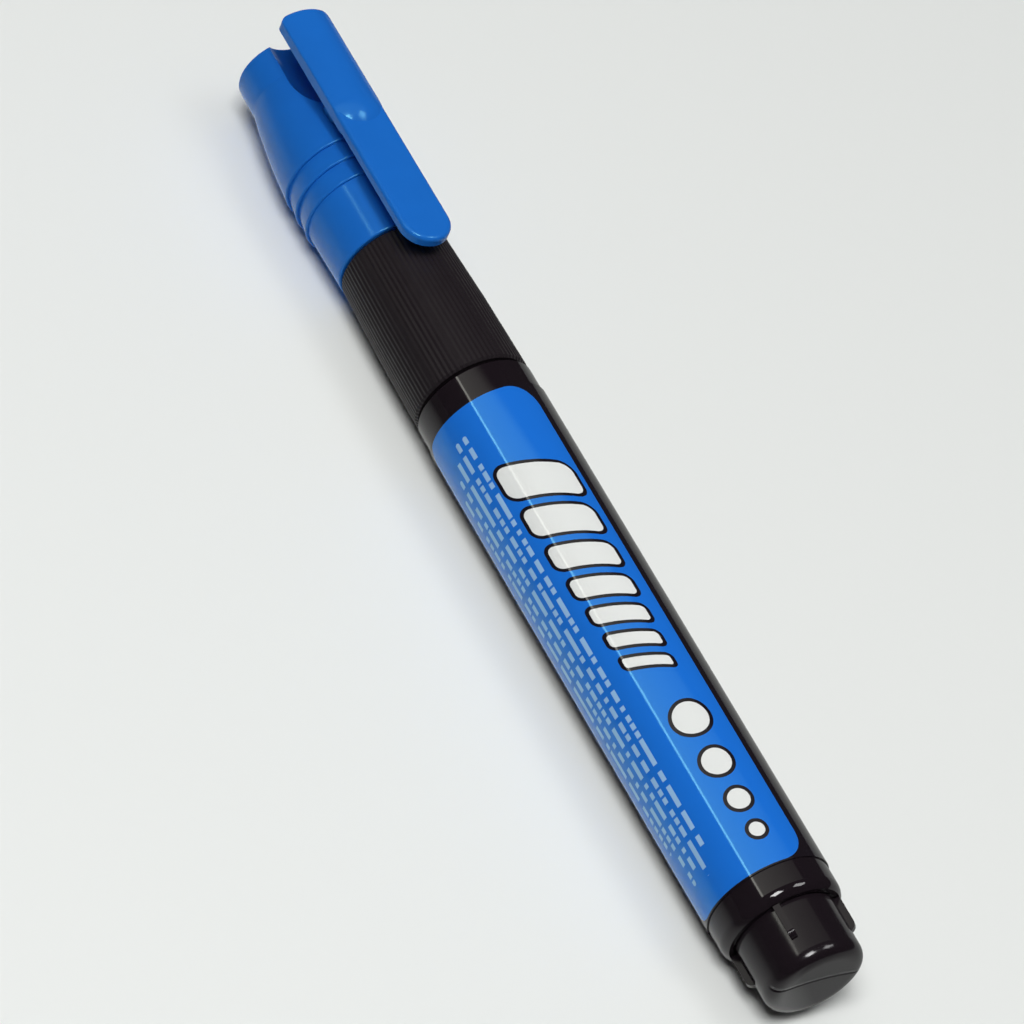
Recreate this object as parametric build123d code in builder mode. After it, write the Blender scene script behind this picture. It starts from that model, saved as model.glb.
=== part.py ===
# Paint marker lying on its side with the pocket clip up, in millimetres.
# Along the pen, x is measured from the front rim of the barrel, plus towards the cap.
# The second coordinate of every profile is the distance from the pen's axis.

import os
from math import cos, pi, radians, sin, sqrt, tan

from build123d import *

os.makedirs("parts", exist_ok=True)

# Fits shared by several pieces
press_gap = 0.02
stack_gap = 0.02
running_gap = 0.06
cut_overrun = 1.0

# Barrel
barrel_length = 76.5
barrel_radius = 7.36
barrel_wall = 1.1
barrel_front_chamfer = 0.4
barrel_shoulder_length = 1.25
barrel_rim_drop = 0.55
barrel_bore_radius = barrel_radius - barrel_wall
barrel_rim_radius = barrel_radius - barrel_rim_drop

# Printed film label
label_film = 0.14
label_margin = 3.9
label_seam_turn = 152.5
label_radius = barrel_radius + press_gap + label_film

# Tail plug
plug_projection = 7.7
plug_step = 0.22
plug_end_round = 1.7
plug_recess = 0.6
plug_insert = 7.4
plug_wall = 1.1
plug_end_wall = 1.6
plug_radius = barrel_bore_radius - plug_step
foot_ribs = 4
foot_rib_phase = 33.0
foot_rib_width = 0.78
foot_rib_rise = 0.73
foot_rib_length = 4.2
foot_rib_end_round = 0.9
foot_rib_gap = 0.1
foot_rib_root = 0.6
foot_rib_radius = plug_radius + foot_rib_rise

# Grip section
grip_gap = 0.3
grip_length = 21.35
grip_rear_drop = 0.06
grip_front_radius = 6.8
grip_middle_share = 0.5
grip_swell_share = 0.72
grip_edge_length = 0.3
grip_edge_drop = 0.25
grip_ribs = 74
grip_rib_depth = 0.07
grip_bore_radius = 4.6
grip_spigot_length = 7.0
grip_neck_length = 5.7
grip_neck_round = 0.4
grip_rear_radius = barrel_radius - grip_rear_drop
grip_middle_radius = grip_front_radius + grip_swell_share * (grip_rear_radius - grip_front_radius)

# Cap
mouth_gap = 0.2
cap_length = 31.35
cap_bore_radius = 5.75
cap_bore_depth = 14.5
cap_mouth_radius = 6.88
cap_mouth_round = 0.3
skirt_length = 8.2
skirt_end_radius = 7.03
tiers = 3
tier_length = 2.78
tier_edge_radius = 7.35
tier_step = 0.4
tier_edge_round = 0.22
flare_start_radius = 7.12
flare_length = 10.2
flare_middle_radius = 6.5
flare_middle_share = 0.5
crown_foot_radius = 5.6
crown_radius = 5.48
crown_round = 0.2
liner_pocket_radius = 4.4
liner_pocket_depth = 20.5
crown_core_radius = 2.4
crown_end_wall = 1.8

# Thumb scoop in the crown, a groove with a long round end
scoop_radius = 4.95
scoop_axis_height = 8.59
scoop_length = 5.3
scoop_end_length = 7.2
scoop_end_turn = 70.0

# Pocket clip
clip_length = 36.6
clip_width = 6.44
clip_thickness = 1.5
clip_height = 8.5
clip_edge_round = 0.55
clip_under_chamfer = 0.2
clip_tail_setback = 0.25
clip_tail_corner = 0.9
pad_length = 17.7
pad_radius = 5.2
pad_rise = 0.93
pad_edge_round = 0.3
clip_pivot_setback = 13.6
clip_pivot_height = 6.55
clip_pivot_radius = 1.2
clip_web_thickness = 2.0
clip_web_width = 4.4

# Cap liner
liner_length = 12.0
liner_bore_radius = 3.5
liner_end_wall = 0.8
liner_lip_chamfer = 0.3

# Nose cone
nose_collar_length = 1.0
nose_collar_radius = 5.3
nose_seal_length = 5.2
nose_seal_radius = liner_bore_radius - running_gap
nose_tip_length = 3.0
nose_tip_radius = 2.85

# Nib
nib_radius = 2.25
nib_length = 23.4
nib_reach = 4.2
nib_tip_radius = 1.3
nib_cone_angle = 22.0

# Valve
case_length = 23.0
case_flange_length = 1.2
case_bore_radius = 3.4
case_ledge_setback = 4.8
case_ledge_length = 1.2
case_ledge_hole_radius = 1.6
gasket_length = 0.8
seat_length = 1.0
seat_hole_radius = 1.7
rod_shaft_radius = 1.2
rod_head_radius = 2.9
rod_head_length = 1.6
rod_pin_radius = 1.1
rod_pin_length = 3.9
retainer_length = 1.2
retainer_hole_radius = 1.4
retainer_ports = 4
retainer_port_radius = 0.5
retainer_port_circle = 2.75
spring_length = 9.2
spring_wire = 0.5
spring_mean_radius = 2.1
spring_turns = 6
spring_wire_sides = 6

# Mixing ball
ball_radius = 2.5
ball_gap = 0.12
ball_place = 40.0

# Stations along the pen
grip_rear = grip_gap
grip_front = grip_rear + grip_length
mouth = grip_front + mouth_gap
crown = mouth + cap_length
tail_rim = -barrel_length
plug_end = tail_rim - plug_projection
clip_tail = crown - clip_tail_setback
clip_pivot = crown - clip_pivot_setback
neck_front = grip_front + grip_neck_length
spigot_rear = -grip_spigot_length
case_flange_front = spigot_rear - gasket_length - stack_gap
case_front = case_flange_front + case_length
ledge_rear = case_front - case_ledge_setback - case_ledge_length
seat_rear = ledge_rear - seat_length
rod_head_front = seat_rear - stack_gap
rod_head_rear = rod_head_front - rod_head_length
retainer_front = rod_head_rear - spring_length
nose_rear = case_front + stack_gap
nose_front = neck_front + nose_collar_length + nose_seal_length + nose_tip_length
nib_tip = nose_front + nib_reach
nib_rear = nib_tip - nib_length
liner_end = mouth + liner_pocket_depth
neck_radius = cap_bore_radius - running_gap

# The pen rests on its label; the origin is under the middle of its length
axis_height = label_radius
middle = (crown + plug_end) / 2
section = Plane(origin=(-middle, 0, axis_height), x_dir=(1, 0, 0), z_dir=(0, -1, 0))
pen_axis = Axis(section.origin, section.x_dir)


def station(x):
    """Plane across the pen at x, its own x sideways and its own y up."""
    return Plane(origin=section.from_local_coords((x, 0, 0)), x_dir=(0, 1, 0), z_dir=(1, 0, 0))


def level(height):
    """Plane along the pen, that far above the axis, its own x along the pen."""
    return Plane(origin=section.from_local_coords((0, height, 0)), x_dir=(1, 0, 0), z_dir=(0, 0, 1))


def ring_points(radius):
    """Corners of a fine-ribbed ring, crest and valley in turn."""
    points = []
    for corner in range(2 * grip_ribs):
        angle = pi * corner / grip_ribs
        reach = radius - grip_rib_depth * (corner % 2)
        points.append((reach * sin(angle), reach * cos(angle)))
    return points


# Barrel
with BuildPart() as barrel:
    with BuildSketch(section):
        with BuildLine():
            outside = Polyline(
                (0, barrel_bore_radius),
                (0, barrel_radius - barrel_front_chamfer),
                (-barrel_front_chamfer, barrel_radius),
                (tail_rim + barrel_shoulder_length, barrel_radius),
            )
            TangentArc(outside @ 1, (tail_rim, barrel_rim_radius), tangent=outside % 1)
            Polyline(
                (tail_rim, barrel_rim_radius), (tail_rim, barrel_bore_radius), (0, barrel_bore_radius)
            )
        make_face()
    revolve(axis=pen_axis)
barrel.part.label = "barrel"
export_step(barrel.part, "parts/barrel.step")

# Film label, its seam turned to the underside
with BuildPart() as label:
    with BuildSketch(section.rotated((-label_seam_turn, 0, 0))):
        with BuildLine():
            Polyline(
                (-label_margin, label_radius - label_film),
                (-label_margin, label_radius),
                (tail_rim + label_margin, label_radius),
                (tail_rim + label_margin, label_radius - label_film),
                close=True,
            )
        make_face()
    revolve(axis=pen_axis)
label.part.label = "label"
export_step(label.part, "parts/label.step")

# Tail plug: cup pressed into the barrel, with short ribs around its foot
plug_spigot_radius = barrel_bore_radius - press_gap
plug_core_radius = plug_radius - plug_wall
foot_rib_front = tail_rim - foot_rib_gap
foot_rib_rear = foot_rib_front - foot_rib_length
with BuildPart() as tail_plug:
    with BuildSketch(section):
        with BuildLine():
            face = Line((plug_end, 0), (plug_end, plug_radius - plug_end_round))
            Bezier(face @ 1, (plug_end, plug_radius), (plug_end + plug_end_round, plug_radius))
            Polyline(
                (plug_end + plug_end_round, plug_radius),
                (tail_rim + plug_recess, plug_radius),
                (tail_rim + plug_recess, plug_spigot_radius),
                (tail_rim + plug_insert, plug_spigot_radius),
                (tail_rim + plug_insert, plug_core_radius),
                (plug_end + plug_end_wall, plug_core_radius),
                (plug_end + plug_end_wall, 0),
                (plug_end, 0),
            )
        make_face()
    revolve(axis=pen_axis)
    for rib in range(foot_ribs):
        turn = foot_rib_phase + rib * 360 / foot_ribs
        with BuildSketch(section.rotated((-turn, 0, 0))):
            with BuildLine():
                Polyline(
                    (foot_rib_rear, plug_radius - foot_rib_root),
                    (foot_rib_front, plug_radius - foot_rib_root),
                    (foot_rib_front, foot_rib_radius),
                    (foot_rib_rear + foot_rib_end_round, foot_rib_radius),
                )
                TangentArc(
                    (foot_rib_rear + foot_rib_end_round, foot_rib_radius),
                    (foot_rib_rear, foot_rib_radius - foot_rib_end_round),
                    tangent=(-1, 0),
                )
                Line(
                    (foot_rib_rear, foot_rib_radius - foot_rib_end_round),
                    (foot_rib_rear, plug_radius - foot_rib_root),
                )
            make_face()
        extrude(amount=foot_rib_width / 2, both=True)
tail_plug.part.label = "tail_plug"
export_step(tail_plug.part, "parts/tail_plug.step")

# Grip section: ribbed sleeve, neck for the cap and spigot into the barrel, one moulding
grip_spigot_radius = barrel_bore_radius - press_gap
grip_stations = (
    (grip_rear, grip_rear_radius - grip_edge_drop),
    (grip_rear + grip_edge_length, grip_rear_radius),
    (grip_rear + grip_length * grip_middle_share, grip_middle_radius),
    (grip_front - grip_edge_length, grip_front_radius),
    (grip_front, grip_front_radius - grip_edge_drop),
)
with BuildPart() as grip_section:
    for place, radius in grip_stations:
        with BuildSketch(station(place)):
            with BuildLine():
                Polyline(*ring_points(radius), close=True)
            make_face()
    loft(ruled=True)
    with BuildSketch(section):
        with BuildLine():
            Polyline(
                (spigot_rear, 0),
                (spigot_rear, grip_spigot_radius),
                (grip_front, grip_spigot_radius),
                (grip_front, neck_radius),
                (neck_front - grip_neck_round, neck_radius),
                (neck_front, neck_radius - grip_neck_round),
                (neck_front, 0),
                close=True,
            )
        make_face()
    revolve(axis=pen_axis)
    with BuildSketch(station(spigot_rear)):
        Circle(grip_bore_radius)
    extrude(amount=neck_front - spigot_rear, mode=Mode.SUBTRACT)
grip_section.part.label = "grip_section"
export_step(grip_section.part, "parts/grip_section.step")

# Cap shell: skirt, three finger tiers, flare and slim crown, cored out from the mouth
tier_start = mouth + skirt_length
flare_start = tier_start + tiers * tier_length
flare_end = flare_start + flare_length
crown_core_end = crown - crown_end_wall
scoop_foot = crown - scoop_length
with BuildPart() as cap_shell:
    with BuildSketch(section):
        with BuildLine():
            rim = Line((mouth, 0), (mouth, cap_mouth_radius - cap_mouth_round))
            Bezier(rim @ 1, (mouth, cap_mouth_radius), (mouth + cap_mouth_round, cap_mouth_radius))
            Line((mouth + cap_mouth_round, cap_mouth_radius), (tier_start, skirt_end_radius))
            for tier in range(tiers):
                edge = tier_start + tier * tier_length
                foot = tier_edge_radius - tier_step
                last = tier == tiers - 1
                step = Line(
                    (edge, foot if tier else skirt_end_radius), (edge, tier_edge_radius - tier_edge_round)
                )
                Bezier(step @ 1, (edge, tier_edge_radius), (edge + tier_edge_round, tier_edge_radius))
                Line(
                    (edge + tier_edge_round, tier_edge_radius),
                    (edge + tier_length, flare_start_radius if last else foot),
                )
            ThreePointArc(
                (flare_start, flare_start_radius),
                (flare_start + flare_length * flare_middle_share, flare_middle_radius),
                (flare_end, crown_foot_radius),
            )
            crown_side = Line((flare_end, crown_foot_radius), (crown - crown_round, crown_radius))
            crown_top = Line((crown, crown_radius - crown_round), (crown, 0))
            Bezier(crown_side @ 1, (crown, crown_radius), crown_top @ 0)
            Line(crown_top @ 1, (mouth, 0))
        make_face()
    revolve(axis=pen_axis)
    with BuildSketch(section):
        with BuildLine():
            Polyline(
                (mouth, 0),
                (mouth, cap_bore_radius),
                (mouth + cap_bore_depth, cap_bore_radius),
                (mouth + cap_bore_depth, liner_pocket_radius),
                (liner_end, liner_pocket_radius),
                (liner_end, crown_core_radius),
                (crown_core_end, crown_core_radius),
                (crown_core_end, 0),
                close=True,
            )
        make_face()
    revolve(axis=pen_axis, mode=Mode.SUBTRACT)
    with BuildSketch(section):
        with BuildLine():
            scoop_end = EllipticalCenterArc(
                (scoop_foot, scoop_axis_height), scoop_end_length, scoop_radius, 90, arc_size=scoop_end_turn
            )
            Polyline(
                scoop_end @ 1,
                ((scoop_end @ 1).X, scoop_axis_height),
                (crown + cut_overrun, scoop_axis_height),
                (crown + cut_overrun, scoop_axis_height + scoop_radius),
                scoop_end @ 0,
            )
        make_face()
    scoop_axis = Axis(section.from_local_coords((0, scoop_axis_height, 0)), section.x_dir)
    revolve(axis=scoop_axis, mode=Mode.SUBTRACT)
    with BuildSketch(section):
        with Locations((clip_pivot, clip_pivot_height)):
            Circle(clip_pivot_radius + running_gap)
        with Locations((clip_pivot, clip_pivot_height + clip_pivot_radius)):
            Rectangle(2 * (clip_pivot_radius + running_gap), 2 * clip_pivot_radius)
    extrude(amount=clip_web_width / 2 + running_gap, both=True, mode=Mode.SUBTRACT)
cap_shell.part.label = "cap_shell"
export_step(cap_shell.part, "parts/cap_shell.step")

# Pocket clip: blade with a round free end, crowned thumb pad, web with a round root in the cap
clip_half = clip_width / 2
clip_end = clip_tail - clip_length
clip_top = clip_height + clip_thickness
pad_axis_height = clip_top + pad_rise - pad_radius
pad_reach = sqrt(pad_radius**2 - (clip_top - pad_axis_height) ** 2)
pad_ball = clip_tail - pad_length + pad_reach
with BuildSketch(level(clip_height)) as clip_plan:
    with BuildLine():
        left = Line((clip_end + clip_half, clip_half), (clip_tail - clip_tail_corner, clip_half))
        TangentArc(left @ 1, (clip_tail, clip_half - clip_tail_corner), tangent=left % 1)
        tail = Line((clip_tail, clip_half - clip_tail_corner), (clip_tail, clip_tail_corner - clip_half))
        TangentArc(tail @ 1, (clip_tail - clip_tail_corner, -clip_half), tangent=tail % 1)
        Line((clip_tail - clip_tail_corner, -clip_half), (clip_end + clip_half, -clip_half))
        ThreePointArc((clip_end + clip_half, -clip_half), (clip_end, 0), (clip_end + clip_half, clip_half))
    make_face()

with BuildPart() as thumb_pad:
    with BuildSketch(section):
        with BuildLine():
            Polyline(
                (pad_ball - pad_radius, pad_axis_height),
                (crown, pad_axis_height),
                (crown, pad_axis_height + pad_radius),
                (pad_ball, pad_axis_height + pad_radius),
            )
            TangentArc(
                (pad_ball, pad_axis_height + pad_radius),
                (pad_ball - pad_radius, pad_axis_height),
                tangent=(-1, 0),
            )
        make_face()
    pad_axis = Axis(section.from_local_coords((0, pad_axis_height, 0)), section.x_dir)
    revolve(axis=pad_axis)
    extrude(clip_plan.sketch, amount=clip_thickness + 2 * pad_rise, mode=Mode.INTERSECT)
    pad_crown = thumb_pad.faces().sort_by(Axis.Z)[-1]
    pad_tail = thumb_pad.faces().sort_by(Axis.X)[-1]
    tail_edges = [edge for edge in pad_crown.edges() if edge in pad_tail.edges()]
    fillet(tail_edges, pad_edge_round)

with BuildPart() as pocket_clip:
    extrude(clip_plan.sketch, amount=clip_thickness)
    fillet(pocket_clip.faces().sort_by(Axis.Z)[-1].edges(), clip_edge_round)
    chamfer(pocket_clip.faces().sort_by(Axis.Z)[0].edges(), clip_under_chamfer)
    add(thumb_pad.part)
    with BuildSketch(section):
        with Locations((clip_pivot, clip_pivot_height)):
            Circle(clip_pivot_radius)
        with BuildLine():
            Polyline(
                (clip_pivot - clip_web_thickness / 2, clip_pivot_height),
                (clip_pivot + clip_web_thickness / 2, clip_pivot_height),
                (clip_pivot + clip_web_thickness / 2, clip_height + clip_thickness / 2),
                (clip_pivot - clip_web_thickness / 2, clip_height + clip_thickness / 2),
                close=True,
            )
        make_face()
    extrude(amount=clip_web_width / 2, both=True)
pocket_clip.part.label = "pocket_clip"
export_step(pocket_clip.part, "parts/pocket_clip.step")

# Cap liner: soft cup that closes around the nose
liner_lip = liner_end - liner_length
with BuildPart() as cap_liner:
    with BuildSketch(section):
        with BuildLine():
            Polyline(
                (liner_lip, liner_bore_radius + liner_lip_chamfer),
                (liner_lip, liner_pocket_radius - press_gap),
                (liner_end - stack_gap, liner_pocket_radius - press_gap),
                (liner_end - stack_gap, 0),
                (liner_end - liner_end_wall, 0),
                (liner_end - liner_end_wall, liner_bore_radius),
                (liner_lip + liner_lip_chamfer, liner_bore_radius),
                close=True,
            )
        make_face()
    revolve(axis=pen_axis)
cap_liner.part.label = "cap_liner"
export_step(cap_liner.part, "parts/cap_liner.step")

# Nose cone
nose_bore_radius = nib_radius + running_gap
nose_shank_radius = grip_bore_radius - press_gap
seal_rear = neck_front + nose_collar_length
seal_front = seal_rear + nose_seal_length
with BuildPart() as nose_cone:
    with BuildSketch(section):
        with BuildLine():
            Polyline(
                (nose_rear, nose_bore_radius),
                (nose_rear, nose_shank_radius),
                (neck_front + stack_gap, nose_shank_radius),
                (neck_front + stack_gap, nose_collar_radius),
                (seal_rear, nose_collar_radius),
                (seal_rear, nose_seal_radius),
                (seal_front, nose_seal_radius),
                (nose_front, nose_tip_radius),
                (nose_front, nose_bore_radius),
                close=True,
            )
        make_face()
    revolve(axis=pen_axis)
nose_cone.part.label = "nose_cone"
export_step(nose_cone.part, "parts/nose_cone.step")

# Nib: pressed-fibre bullet, a cone that runs into a round tip
nib_slope = radians(nib_cone_angle)
nib_tip_middle = nib_tip - nib_tip_radius
cone_front = nib_tip_middle + nib_tip_radius * sin(nib_slope)
cone_front_radius = nib_tip_radius * cos(nib_slope)
cone_rear = cone_front - (nib_radius - cone_front_radius) / tan(nib_slope)
with BuildPart() as nib:
    with BuildSketch(section):
        with BuildLine():
            Polyline(
                (nib_tip, 0),
                (nib_rear, 0),
                (nib_rear, nib_radius),
                (cone_rear, nib_radius),
                (cone_front, cone_front_radius),
            )
            CenterArc((nib_tip_middle, 0), nib_tip_radius, 0, 90 - nib_cone_angle)
        make_face()
    revolve(axis=pen_axis)
nib.part.label = "nib"
export_step(nib.part, "parts/nib.step")

# Valve case: tube through the grip section with the seat ledge inside and a flange behind
case_radius = grip_bore_radius - press_gap
case_flange_radius = barrel_bore_radius - running_gap
case_rear = case_flange_front - case_flange_length
with BuildPart() as valve_case:
    with BuildSketch(section):
        with BuildLine():
            Polyline(
                (case_rear, case_bore_radius),
                (case_rear, case_flange_radius),
                (case_flange_front, case_flange_radius),
                (case_flange_front, case_radius),
                (case_front, case_radius),
                (case_front, case_bore_radius),
                (ledge_rear + case_ledge_length, case_bore_radius),
                (ledge_rear + case_ledge_length, case_ledge_hole_radius),
                (ledge_rear, case_ledge_hole_radius),
                (ledge_rear, case_bore_radius),
                close=True,
            )
        make_face()
    revolve(axis=pen_axis)
valve_case.part.label = "valve_case"
export_step(valve_case.part, "parts/valve_case.step")


def washer(rear, length, hole_radius, rim_radius):
    """Flat ring on the axis, for the part that is open."""
    with BuildSketch(station(rear)) as ring:
        Circle(rim_radius)
        Circle(hole_radius, mode=Mode.SUBTRACT)
    extrude(ring.sketch, amount=length)


# Gasket between the grip's spigot and the flange of the valve case
gasket_rear = case_flange_front + stack_gap / 2
with BuildPart() as case_gasket:
    washer(gasket_rear, gasket_length, case_radius + running_gap, case_flange_radius)
case_gasket.part.label = "case_gasket"
export_step(case_gasket.part, "parts/case_gasket.step")

# Soft valve seat behind the ledge
with BuildPart() as valve_seat:
    washer(seat_rear, seat_length, seat_hole_radius, case_bore_radius - press_gap)
valve_seat.part.label = "valve_seat"
export_step(valve_seat.part, "parts/valve_seat.step")

# Spring retainer: pressed into the rear of the case, with ports for the paint
retainer_rear = retainer_front - retainer_length
with BuildPart() as spring_retainer:
    washer(retainer_rear, retainer_length, retainer_hole_radius, case_bore_radius - press_gap)
    with BuildSketch(station(retainer_rear)):
        with PolarLocations(retainer_port_circle, retainer_ports):
            Circle(retainer_port_radius)
    extrude(amount=retainer_length, mode=Mode.SUBTRACT)
spring_retainer.part.label = "spring_retainer"
export_step(spring_retainer.part, "parts/spring_retainer.step")

# Valve rod: poppet head on the seat, shaft to the nib, pin inside the spring
with BuildPart() as valve_rod:
    with BuildSketch(section):
        with BuildLine():
            Polyline(
                (rod_head_rear - rod_pin_length, 0),
                (rod_head_rear - rod_pin_length, rod_pin_radius),
                (rod_head_rear, rod_pin_radius),
                (rod_head_rear, rod_head_radius),
                (rod_head_front, rod_head_radius),
                (rod_head_front, rod_shaft_radius),
                (nib_rear - stack_gap, rod_shaft_radius),
                (nib_rear - stack_gap, 0),
                close=True,
            )
        make_face()
    revolve(axis=pen_axis)
valve_rod.part.label = "valve_rod"
export_step(valve_rod.part, "parts/valve_rod.step")

# Valve spring: one round wire wound on quarter-turn pairs of arcs
spring_start = retainer_front + spring_wire / 2 + stack_gap
spring_rise = spring_length - spring_wire - 2 * stack_gap
quarters = 4 * spring_turns


def coil_point(quarter):
    """Point of the wire's middle line, in the coordinates of the section plane."""
    angle = quarter * pi / 2
    x = spring_start + spring_rise * quarter / quarters
    return section.from_local_coords((x, spring_mean_radius * cos(angle), spring_mean_radius * sin(angle)))


def coil_direction(quarter):
    """Unit direction of the wire there."""
    angle = quarter * pi / 2
    climb = spring_rise / (2 * pi * spring_turns)
    around = section.z_dir * cos(angle) - section.y_dir * sin(angle)
    return (section.x_dir * climb + around * spring_mean_radius).normalized()


with BuildPart() as valve_spring:
    with BuildLine() as wire_line:
        for quarter in range(quarters):
            first, second = coil_point(quarter), coil_point(quarter + 1)
            leave, arrive = coil_direction(quarter), coil_direction(quarter + 1)
            span = second - first
            both = leave + arrive
            bend = 2 * (1 - leave.dot(arrive))
            arm = (sqrt(span.dot(both) ** 2 + bend * span.dot(span)) - span.dot(both)) / bend
            joint = (first + leave * arm + second - arrive * arm) / 2
            half_arc = TangentArc(first, joint, tangent=leave)
            TangentArc(joint, second, tangent=half_arc % 1)
    with BuildSketch(Plane(origin=wire_line.line @ 0, z_dir=wire_line.line % 0)):
        RegularPolygon(spring_wire / 2, spring_wire_sides)
    sweep()
valve_spring.part.label = "valve_spring"
export_step(valve_spring.part, "parts/valve_spring.step")
coil_pitch = spring_rise / spring_turns
print("least gap between spring turns:", round(coil_pitch - spring_wire, 3), "mm")

# Mixing ball on the floor of the reservoir
with BuildPart() as mixing_ball:
    ball_drop = barrel_bore_radius - ball_radius - ball_gap
    with Locations(section.from_local_coords((-ball_place, -ball_drop, 0))):
        Sphere(ball_radius)
mixing_ball.part.label = "mixing_ball"
export_step(mixing_ball.part, "parts/mixing_ball.step")
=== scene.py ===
# Looks of the paint marker, in metres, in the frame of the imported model.
# The marker lies along X with its cap towards plus X and its pocket clip up.
# Turns around the marker are counted from the clip towards plus Y.

from math import pi, radians

import bpy
from mathutils import Matrix, Vector


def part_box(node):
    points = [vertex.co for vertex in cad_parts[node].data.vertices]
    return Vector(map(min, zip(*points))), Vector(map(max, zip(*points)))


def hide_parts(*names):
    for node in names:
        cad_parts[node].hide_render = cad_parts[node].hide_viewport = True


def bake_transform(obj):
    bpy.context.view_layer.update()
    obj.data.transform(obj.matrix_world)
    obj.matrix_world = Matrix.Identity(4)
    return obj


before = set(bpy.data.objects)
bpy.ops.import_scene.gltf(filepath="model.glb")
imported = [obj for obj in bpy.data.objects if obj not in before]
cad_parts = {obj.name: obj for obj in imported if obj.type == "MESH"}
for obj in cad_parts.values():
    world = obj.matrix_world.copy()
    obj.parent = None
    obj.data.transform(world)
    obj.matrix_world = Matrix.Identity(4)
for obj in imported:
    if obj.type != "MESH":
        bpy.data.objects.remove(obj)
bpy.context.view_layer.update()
scene = bpy.context.scene
millimetre = 0.001

# Camera, fitted to the photograph's perspective
camera_place = Vector((-0.27874, 0.30045, 0.42105))
camera_aim = Vector((0.00414, -0.00191, 0.00014))
camera_roll = radians(25.916)
camera_lens = 179.42
camera_sensor = 36.0

# Lamps, not seen in the gloss: direction, size, radiance, and what they light where that isn't everything
lamp_distance = 1.3
left_direction = Vector((-0.195, 0.37, 0.908))
right_direction = Vector((-0.156, -0.345, 0.925))
lamps = {
    "floor_light": (left_direction, 0.48, 17.2, "floor"),
    "left": (left_direction, 0.48, 5.6, "marker"),
    "top": (Vector((-0.05, 0.05, 1.0)), 0.3, 27.0, "marker"),
    "right": (right_direction, 0.36, 3.4, None),
    "ceiling": (Vector((0.0, 0.0, 1.0)), 1.8, 0.57, None),
}

# Soft boxes, seen only in the gloss, as bright spots: direction, size, radiance
soft_box_distance = 1.2
soft_boxes = {
    "soft_box_left": (Vector((-0.195, 0.329, 0.924)), 0.37, 16.5),
    "soft_box_right": (right_direction, 0.33, 6.5),
}

# Dim card beyond the cap, seen only in the gloss: it fades to the right and to its slanting far side
card_height = 0.3
card_radiance = 1.0
card_near, card_far = 0.045, 0.3
card_left, card_right = 0.25, -0.28
card_slant = 0.286
card_slant_start = 0.191
card_slant_softness = 0.025
card_edge_width = 0.03
card_edge_radiance = 4.5
card_tint = (1.0, 1.0, 0.92)

# Room and floor; the floor is dim in the gloss, most on the left, and far out it fades to the backdrop
room_glow = 0.03
room_reflection = 0.02
backdrop_colour = (0.78, 0.80, 0.79)
floor_size = 3.0
floor_fade_start = 0.15
floor_fade_end = 0.5
floor_colour = (0.83, 0.85, 0.83)
floor_roughness = 0.6
floor_gloss = 0.2
floor_dim_start = 0.004
floor_dim_end = 0.038
floor_dim_share = 0.06
floor_right_dimness_share = 0.55

# Colours, linear
white = (1.0, 1.0, 1.0)
cap_blue = (0.0118, 0.143, 0.56)
grip_black = (0.0145, 0.0108, 0.0132)
barrel_black = (0.0108, 0.0074, 0.0100)
print_black = (0.0108, 0.0078, 0.0112)
print_blue = (0.0122, 0.168, 0.70)
print_pale_blue = (0.34, 0.57, 0.87)
blue_gloss_tint = (0.36, 1.0, 1.0)
print_white = (0.80, 0.82, 0.80)
liner_white = (0.72, 0.73, 0.72)
nib_cream = (0.62, 0.58, 0.48)
rubber_black = (0.022, 0.022, 0.024)
steel_grey = (0.60, 0.60, 0.61)

# Waviness of moulded walls and of the film, how evenly they are polished, and how their colour drifts
wall_wave = 0.001 * millimetre
gloss_wave = 0.0016 * millimetre
wave_scale = 240.0
polish_spread_share = 0.1
film_spread_share = 0.25
polish_scale = 700.0
noise_low, noise_high = 0.3, 0.7
noise_detail = 2.0
drift_share = 0.05
drift_scale = 180.0

# Plastics: colour, roughness, waviness, gloss level, tint of the gloss, pieces
plain_gloss = 0.5
plastics = {
    "cap_blue_plastic": (cap_blue, 0.17, wall_wave, 0.45, blue_gloss_tint, ("cap_shell", "pocket_clip")),
    "grip_black_plastic": (grip_black, 0.38, wall_wave, 0.24, white, ("grip_section",)),
    "barrel_black_plastic": (barrel_black, 0.07, gloss_wave, plain_gloss, white, ("barrel",)),
    "plug_black_plastic": (barrel_black, 0.16, gloss_wave, 0.44, white, ("tail_plug",)),
    "nose_black_plastic": (barrel_black, 0.2, wall_wave, plain_gloss, white, ("nose_cone",)),
    "liner_white_plastic": (liner_white, 0.4, wall_wave, plain_gloss, white, ("cap_liner",)),
    "valve_white_plastic": (
        liner_white,
        0.3,
        wall_wave,
        plain_gloss,
        white,
        ("valve_case", "valve_rod", "spring_retainer"),
    ),
    "seal_rubber": (rubber_black, 0.7, wall_wave, plain_gloss, white, ("case_gasket", "valve_seat")),
}

# Metals: colour, roughness, scale of the grain, piece
metals = {
    "spring_steel": (steel_grey, 0.28, 3000.0, "valve_spring"),
    "ball_steel": (steel_grey, 0.1, 800.0, "mixing_ball"),
}
dull_share = 0.9
grain_detail = 3.0

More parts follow.
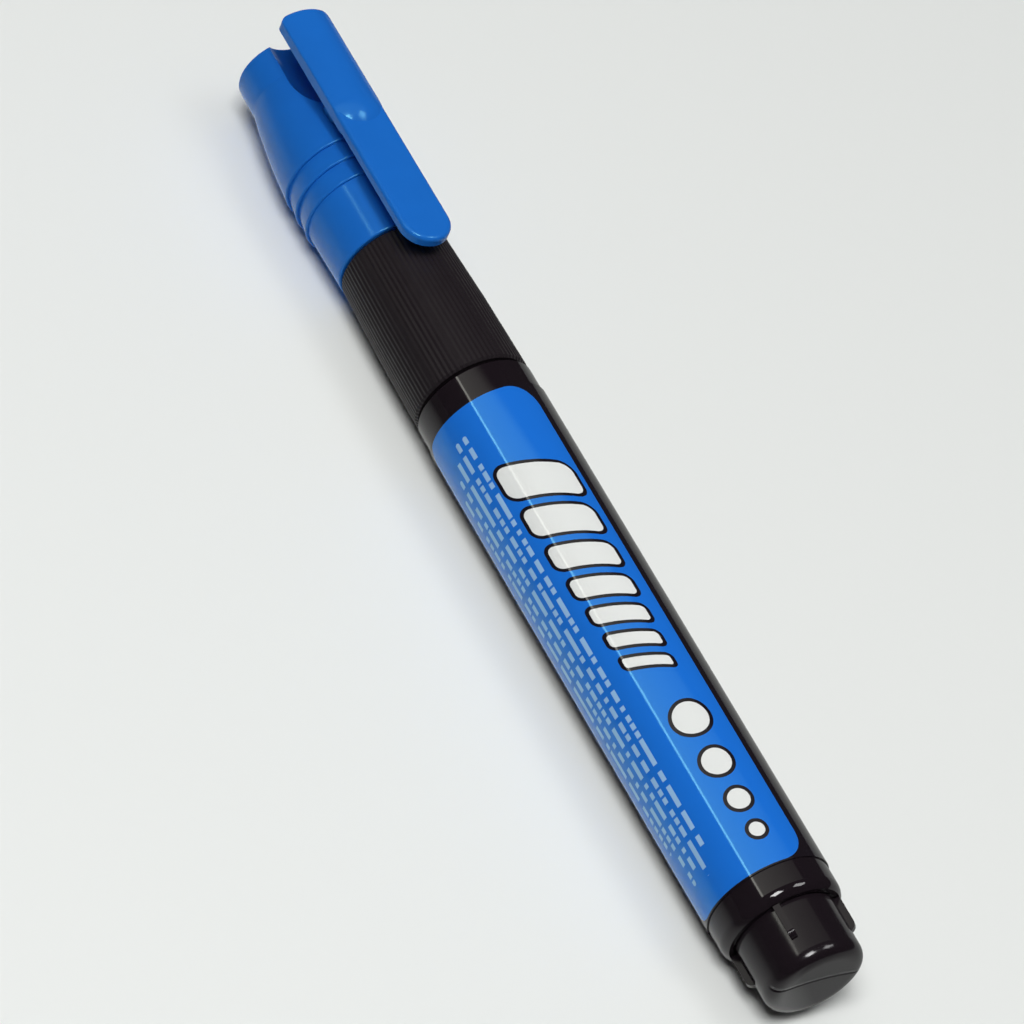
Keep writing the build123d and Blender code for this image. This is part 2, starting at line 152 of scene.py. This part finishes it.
# Printed design: millimetres along from the front edge of the film, degrees around the marker
print_softness = 0.02
film_roughness = 0.07
ink_gloss = 1.0
panel_front_margin = 0.35
panel_rear_margin = 0.2
panel_right_turn = -19.5
panel_left_turn = 122.0
panel_corner = 3.4
dash_spans = ((3.5, 63.0), (3.5, 65.5), (5.0, 64.0), (7.0, 65.0), (9.0, 60.0))
dash_turn = 61.0
dash_turn_step = 9.5
dash_half_height = 0.3
dash_scale = 0.9
dash_cut = 0.44
dash_edge = 0.03
bar_start = 11.0
bar_turn = 21.0
bar_widths = (4.6, 3.9, 3.2, 2.6, 2.1, 1.7, 1.3)
bar_gap = 1.7
bar_height = 8.4
bar_height_share = 0.92
bar_corner_share = 0.28
bar_slant = 0.38
disc_turn = 14.0
discs = ((48.5, 2.1), (54.6, 1.7), (59.8, 1.3), (64.0, 0.9))
outline_width = 0.45

# Moulding line across the end of the tail plug
line_rise = 1.1 * millimetre
line_sag = 22.0
line_half_width = 0.34 * millimetre
line_depth = 0.16 * millimetre
line_reach = 0.6 * millimetre

# Fibres of the nib and their paint stain
stain_start = 8.0 * millimetre
stain_end = 2.0 * millimetre
stain_least_share = 0.35
stain_ragged = 3.0 * millimetre
stain_deep_share = 0.55
strand_deep_share = 0.7
fibre_relief = 0.03 * millimetre
fibre_scale = 6000.0
fibre_detail = 4.0
fibre_stretch_share = 0.12
nib_roughness = 0.85


def material(name):
    """New node material; returns it with its tree and its shader."""
    new = bpy.data.materials.new(name)
    new.use_nodes = True
    tree = new.node_tree
    return new, tree, tree.nodes["Principled BSDF"]


def feed(tree, socket, value):
    """Links a socket to another one, or sets it to a plain value."""
    if isinstance(value, bpy.types.NodeSocket):
        tree.links.new(value, socket)
    else:
        socket.default_value = value


def maths(tree, operation, *values):
    """Result of a sum on plain values or sockets."""
    node = tree.nodes.new("ShaderNodeMath")
    node.operation = operation
    for socket, value in zip(node.inputs, values):
        feed(tree, socket, value)
    return node.outputs["Value"]


def vector_maths(tree, operation, *values):
    """Result of a sum on vectors; a length is a plain number."""
    node = tree.nodes.new("ShaderNodeVectorMath")
    node.operation = operation
    for socket, value in zip(node.inputs, values):
        feed(tree, socket, value)
    return node.outputs["Value" if operation == "LENGTH" else "Vector"]


def object_place(tree):
    """Socket with the point's place in the object's own frame, in metres."""
    return tree.nodes.new("ShaderNodeTexCoord").outputs["Object"]


def parts_of(tree, vector):
    """The three numbers of a vector, as sockets."""
    node = tree.nodes.new("ShaderNodeSeparateXYZ")
    tree.links.new(vector, node.inputs["Vector"])
    return node.outputs["X"], node.outputs["Y"], node.outputs["Z"]


def noise(tree, place, scale, detail=noise_detail):
    """Cloudy noise, most of it between noise_low and noise_high."""
    node = tree.nodes.new("ShaderNodeTexNoise")
    node.inputs["Scale"].default_value = scale
    node.inputs["Detail"].default_value = detail
    tree.links.new(place, node.inputs["Vector"])
    return node.outputs["Fac"]


def map_range(tree, value, low, high, to_low, to_high):
    """A value carried from one range to another, and held at its ends."""
    node = tree.nodes.new("ShaderNodeMapRange")
    for socket, number in zip(node.inputs, (value, low, high, to_low, to_high)):
        feed(tree, socket, number)
    return node.outputs["Result"]


def mix_colour(tree, factor, first, second):
    """Colour between two, the first at factor zero."""
    node = tree.nodes.new("ShaderNodeMix")
    node.data_type = "RGBA"
    feed(tree, node.inputs["Factor"], factor)
    for key, colour in (("A", first), ("B", second)):
        feed(tree, node.inputs[key], colour if isinstance(colour, bpy.types.NodeSocket) else (*colour, 1.0))
    return node.outputs["Result"]


def bump(tree, shader, height):
    """Relief of a surface, its height in metres."""
    node = tree.nodes.new("ShaderNodeBump")
    node.inputs["Distance"].default_value = 1.0
    tree.links.new(height, node.inputs["Height"])
    tree.links.new(node.outputs["Normal"], shader.inputs["Normal"])


def uneven_finish(tree, shader, place, roughness, spread_share, wave_depth, relief=None):
    """Polish that varies a little, over the faint waviness of the wall and any relief."""
    polish = noise(tree, place, polish_scale)
    low, high = roughness * (1 - spread_share), roughness * (1 + spread_share)
    tree.links.new(map_range(tree, polish, noise_low, noise_high, low, high), shader.inputs["Roughness"])
    height = maths(tree, "MULTIPLY", noise(tree, place, wave_scale), wave_depth)
    if relief:
        height = maths(tree, "ADD", height, relief(tree, place))
    bump(tree, shader, height)


def moulded_plastic(name, colour, roughness, wave_depth, gloss, tint, relief):
    """Moulded plastic with a slight drift of its colour."""
    new, tree, shader = material(name)
    shader.inputs["Specular IOR Level"].default_value = gloss
    shader.inputs["Specular Tint"].default_value = (*tint, 1.0)
    place = object_place(tree)
    pale = tuple(c * (1 + drift_share) for c in colour)
    deep = tuple(c * (1 - drift_share) for c in colour)
    drifting = mix_colour(tree, noise(tree, place, drift_scale), deep, pale)
    tree.links.new(drifting, shader.inputs["Base Color"])
    uneven_finish(tree, shader, place, roughness, polish_spread_share, wave_depth, relief)
    return new


def moulding_line(tree, place):
    """Height of the fine arched line that crosses the end of the tail plug."""
    low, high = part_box("tail_plug")
    along, across, up = parts_of(tree, place)
    sag = maths(tree, "MULTIPLY", maths(tree, "MULTIPLY", across, across), line_sag)
    level = maths(tree, "SUBTRACT", maths(tree, "ADD", up, sag), (low[2] + high[2]) / 2 + line_rise)
    groove = map_range(tree, maths(tree, "ABSOLUTE", level), 0.0, line_half_width, -line_depth, 0.0)
    at_end = map_range(tree, along, low[0] + line_reach, low[0] + 2 * line_reach, 1.0, 0.0)
    return maths(tree, "MULTIPLY", groove, at_end)


def rounded_box(tree, place, middle, half, corner):
    """Distance from a rounded rectangle in the plane of the print, negative inside."""
    offset = vector_maths(tree, "SUBTRACT", place, (*middle, 0.0))
    folded = vector_maths(tree, "ABSOLUTE", offset)
    beyond = vector_maths(tree, "SUBTRACT", folded, (half[0] - corner, half[1] - corner, 0.0))
    outside = vector_maths(tree, "LENGTH", vector_maths(tree, "MAXIMUM", beyond, (0.0, 0.0, 0.0)))
    return maths(tree, "SUBTRACT", outside, corner)


def printed_film():
    """Glossy film: black ground, blue panel, rows of pale dashes, white bars and discs."""
    new, tree, shader = material("label_film")
    low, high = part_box("label")
    radius = (high[2] - low[2]) / 2 / millimetre
    length = (high[0] - low[0]) / millimetre
    axis_height = (high[2] + low[2]) / 2
    place = object_place(tree)
    x, y, z = parts_of(tree, place)
    along = maths(tree, "MULTIPLY_ADD", x, -1 / millimetre, high[0] / millimetre)
    turn = maths(tree, "ARCTAN2", y, maths(tree, "SUBTRACT", z, axis_height))
    around = maths(tree, "MULTIPLY", turn, radius)
    unrolled = tree.nodes.new("ShaderNodeCombineXYZ")
    tree.links.new(along, unrolled.inputs["X"])
    tree.links.new(around, unrolled.inputs["Y"])
    flat = unrolled.outputs["Vector"]

    def arc(degrees):
        return radians(degrees) * radius

    def ink(distance, swell=0.0):
        return map_range(tree, distance, swell - print_softness, swell + print_softness, 1.0, 0.0)

    def spot(middle, spot_radius):
        return rounded_box(tree, flat, middle, (spot_radius, spot_radius), spot_radius)

    # Blue panel on the black ground
    panel_start, panel_end = panel_front_margin, length - panel_rear_margin
    panel_low, panel_high = arc(panel_right_turn), arc(panel_left_turn)
    panel = rounded_box(
        tree,
        flat,
        ((panel_start + panel_end) / 2, (panel_low + panel_high) / 2),
        ((panel_end - panel_start) / 2, (panel_high - panel_low) / 2),
        panel_corner,
    )
    colour = mix_colour(tree, ink(panel), print_black, print_blue)

    # Rows of pale dashes along the lower side, with staggered ends
    for row, (start, end) in enumerate(dash_spans):
        middle = ((start + end) / 2, arc(dash_turn + dash_turn_step * row))
        half = ((end - start) / 2, dash_half_height)
        strip = rounded_box(tree, flat, middle, half, dash_half_height)
        along_row = vector_maths(tree, "MULTIPLY_ADD", flat, (dash_scale, 0.0, 0.0), (0.0, float(row), 0.0))
        broken = noise(tree, along_row, 1.0, detail=0.0)
        dashes = map_range(tree, broken, dash_cut, dash_cut + dash_edge, 0.0, 1.0)
        colour = mix_colour(tree, maths(tree, "MULTIPLY", ink(strip), dashes), colour, print_pale_blue)

    # White bars with a black outline, slanting and thinning towards the tail, then shrinking discs
    lean = maths(tree, "MULTIPLY", maths(tree, "SUBTRACT", around, arc(bar_turn)), bar_slant)
    leaning = tree.nodes.new("ShaderNodeCombineXYZ")
    tree.links.new(maths(tree, "ADD", along, lean), leaning.inputs["X"])
    tree.links.new(around, leaning.inputs["Y"])
    shapes = [spot((disc_along, arc(disc_turn)), disc_radius) for disc_along, disc_radius in discs]
    bar_edge, height = bar_start, bar_height
    for width in bar_widths:
        middle = (bar_edge + width / 2, arc(bar_turn))
        half = (width / 2, height / 2)
        shapes.append(rounded_box(tree, leaning.outputs["Vector"], middle, half, bar_corner_share * width))
        bar_edge += width + bar_gap
        height *= bar_height_share
    motif = shapes[0]
    for shape in shapes[1:]:
        motif = maths(tree, "MINIMUM", motif, shape)
    outlined = ink(motif, outline_width)
    colour = mix_colour(tree, outlined, colour, print_black)
    colour = mix_colour(tree, ink(motif), colour, print_white)

    # The blue ink has a stronger gloss than the rest, tinted by the ink
    blue_ink = maths(tree, "MULTIPLY", ink(panel), maths(tree, "SUBTRACT", 1.0, outlined))
    gloss = map_range(tree, blue_ink, 0.0, 1.0, plain_gloss, ink_gloss)
    tree.links.new(gloss, shader.inputs["Specular IOR Level"])
    tint = mix_colour(tree, blue_ink, white, blue_gloss_tint)
    tree.links.new(tint, shader.inputs["Specular Tint"])
    tree.links.new(colour, shader.inputs["Base Color"])
    uneven_finish(tree, shader, place, film_roughness, film_spread_share, gloss_wave)
    return new


def pressed_fibre():
    """Nib of pressed fibre, stained with blue paint towards its tip."""
    new, tree, shader = material("nib_fibre")
    low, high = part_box("nib")
    place = object_place(tree)
    drawn_out = vector_maths(tree, "MULTIPLY", place, (fibre_stretch_share, 1.0, 1.0))
    fibres = noise(tree, drawn_out, fibre_scale, fibre_detail)
    front = maths(tree, "MULTIPLY_ADD", fibres, stain_ragged, parts_of(tree, place)[0])
    stain = map_range(tree, front, high[0] - stain_start, high[0] - stain_end, stain_least_share, 1.0)
    strand = mix_colour(tree, fibres, tuple(strand_deep_share * c for c in nib_cream), nib_cream)
    stained = mix_colour(tree, fibres, tuple(stain_deep_share * c for c in print_blue), print_blue)
    tree.links.new(mix_colour(tree, stain, strand, stained), shader.inputs["Base Color"])
    shader.inputs["Roughness"].default_value = nib_roughness
    bump(tree, shader, maths(tree, "MULTIPLY", fibres, fibre_relief))
    return new


def metal(name, colour, roughness, grain_scale):
    """Bare metal with a slightly uneven tone."""
    new, tree, shader = material(name)
    place = object_place(tree)
    tone = noise(tree, place, grain_scale, grain_detail)
    dull = tuple(dull_share * c for c in colour)
    tree.links.new(mix_colour(tree, tone, dull, colour), shader.inputs["Base Color"])
    shader.inputs["Metallic"].default_value = 1.0
    uneven_finish(tree, shader, place, roughness, polish_spread_share, wall_wave)
    return new


def dress(new_material, *nodes):
    """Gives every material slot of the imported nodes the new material."""
    for node in nodes:
        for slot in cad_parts[node].material_slots:
            slot.material = new_material


# Materials of all pieces
reliefs = {"plug_black_plastic": moulding_line}
for name, (colour, roughness, wave_depth, gloss, tint, nodes) in plastics.items():
    dress(moulded_plastic(name, colour, roughness, wave_depth, gloss, tint, reliefs.get(name)), *nodes)
for name, (colour, roughness, grain_scale, node) in metals.items():
    dress(metal(name, colour, roughness, grain_scale), node)
dress(printed_film(), "label")
dress(pressed_fibre(), "nib")

# A copy of the spring's coil takes the place of the imported spring, which is hidden
coil = bpy.data.objects.new("spring_coil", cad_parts["valve_spring"].data.copy())
scene.collection.objects.link(coil)
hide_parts("valve_spring")
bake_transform(coil)


def flat_piece(name, corners):
    """Flat piece of the stage with these corners."""
    mesh = bpy.data.meshes.new(name)
    mesh.from_pydata(corners, [], [tuple(range(len(corners)))])
    piece = bpy.data.objects.new(name, mesh)
    scene.collection.objects.link(piece)
    return piece


# Floor
half = floor_size / 2
floor = flat_piece("floor", [(-half, -half, 0), (half, -half, 0), (half, half, 0), (-half, half, 0)])
floor_paint, floor_tree, floor_shader = material("floor_white")
floor_place = object_place(floor_tree)
floor_left = parts_of(floor_tree, floor_place)[1]
floor_ray = floor_tree.nodes.new("ShaderNodeLightPath")
left_dimness = map_range(floor_tree, floor_left, floor_dim_start, floor_dim_end, 0.0, 1.0)
right_dimness = map_range(floor_tree, floor_left, 0.0, -floor_dim_start, 0.0, floor_right_dimness_share)
dimness = maths(floor_tree, "ADD", left_dimness, right_dimness)
dim_colour = tuple(floor_dim_share * c for c in floor_colour)
dimming = maths(floor_tree, "MULTIPLY", dimness, floor_ray.outputs["Is Glossy Ray"])
floor_tree.links.new(
    mix_colour(floor_tree, dimming, floor_colour, dim_colour), floor_shader.inputs["Base Color"]
)
floor_shader.inputs["Roughness"].default_value = floor_roughness
floor_shader.inputs["Specular IOR Level"].default_value = floor_gloss
floor_reach = vector_maths(floor_tree, "LENGTH", floor_place)
floor_fade = map_range(floor_tree, floor_reach, floor_fade_start, floor_fade_end, 0.0, 1.0)
far_floor = floor_tree.nodes.new("ShaderNodeEmission")
far_floor.inputs["Color"].default_value = (*backdrop_colour, 1.0)
floor_mix = floor_tree.nodes.new("ShaderNodeMixShader")
seen_fade = maths(floor_tree, "MULTIPLY", floor_fade, floor_ray.outputs["Is Camera Ray"])
feed(floor_tree, floor_mix.inputs[0], seen_fade)
feed(floor_tree, floor_mix.inputs[1], floor_shader.outputs["BSDF"])
feed(floor_tree, floor_mix.inputs[2], far_floor.outputs["Emission"])
feed(floor_tree, floor_tree.nodes["Material Output"].inputs["Surface"], floor_mix.outputs["Shader"])
floor.data.materials.append(floor_paint)

# World: a dim room, pale where the camera sees past the floor
world = bpy.data.worlds.new("room")
scene.world = world
world.use_nodes = True
room = world.node_tree
room_ray = room.nodes.new("ShaderNodeLightPath")
room_light = map_range(room, room_ray.outputs["Is Glossy Ray"], 0.0, 1.0, room_glow, room_reflection)
seen_light = map_range(room, room_ray.outputs["Is Camera Ray"], 0.0, 1.0, room_light, 1.0)
seen_colour = mix_colour(room, room_ray.outputs["Is Camera Ray"], white, backdrop_colour)
room.links.new(seen_colour, room.nodes["Background"].inputs["Color"])
room.links.new(seen_light, room.nodes["Background"].inputs["Strength"])


def square_lamp(name, direction, distance, size, radiance):
    """Square lamp in that direction, turned towards the marker."""
    light = bpy.data.lights.new(name, "AREA")
    light.size = size
    light.energy = radiance * pi * size**2
    piece = bpy.data.objects.new(name, light)
    scene.collection.objects.link(piece)
    aim = direction.normalized()
    facing = aim.to_track_quat("Z", "Y").to_matrix().to_4x4()
    piece.matrix_world = Matrix.Translation(aim * distance) @ facing
    return piece


lit = {"floor": [floor], "marker": [*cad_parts.values(), coil]}
for name, (direction, size, radiance, receivers) in lamps.items():
    lamp = square_lamp(name, direction, lamp_distance, size, radiance)
    lamp.visible_glossy = False
    if receivers:
        lamp.light_linking.receiver_collection = bpy.data.collections.new(name)
        for piece in lit[receivers]:
            lamp.light_linking.receiver_collection.objects.link(piece)
for name, (direction, size, radiance) in soft_boxes.items():
    square_lamp(name, direction, soft_box_distance, size, radiance).visible_diffuse = False


def gloss_card(name, corners):
    """Glowing card that only shiny surfaces see; returns the tree of its material and its shader."""
    card = flat_piece(name, [(x, y, card_height) for x, y in corners])
    glow, tree, shader = material(name)
    shader.inputs["Base Color"].default_value = (0.0, 0.0, 0.0, 1.0)
    shader.inputs["Emission Color"].default_value = (*card_tint, 1.0)
    card.data.materials.append(glow)
    card.visible_camera = False
    card.visible_diffuse = False
    card.visible_shadow = False
    return tree, shader


def rectangle(near, far, left, right):
    """Corners of a level rectangle, near and far along X, left and right along Y."""
    return (near, left), (far, left), (far, right), (near, right)


card_tree, card_shader = gloss_card("panel", rectangle(card_near, card_far, card_left, card_right))
card_x, card_y = parts_of(card_tree, object_place(card_tree))[:2]
fade = map_range(card_tree, card_y, card_right, card_left, 0.0, card_radiance)
slant = maths(card_tree, "MULTIPLY_ADD", card_y, card_slant, card_slant_start)
inside = maths(card_tree, "SUBTRACT", slant, card_x)
within = map_range(card_tree, inside, 0.0, card_slant_softness, 0.0, 1.0)
card_tree.links.new(maths(card_tree, "MULTIPLY", fade, within), card_shader.inputs["Emission Strength"])
edge_left = card_left + card_edge_width
edge_shader = gloss_card("panel_edge", rectangle(card_near, card_far, edge_left, card_left))[1]
edge_shader.inputs["Emission Strength"].default_value = card_edge_radiance

# Camera
lens = bpy.data.cameras.new("camera")
lens.lens = camera_lens
lens.sensor_width = camera_sensor
camera = bpy.data.objects.new("camera", lens)
scene.collection.objects.link(camera)
look = (camera_aim - camera_place).to_track_quat("-Z", "Y").to_matrix().to_4x4()
camera.matrix_world = Matrix.Translation(camera_place) @ look @ Matrix.Rotation(camera_roll, 4, "Z")
scene.camera = camera

scene.view_settings.view_transform = "Standard"
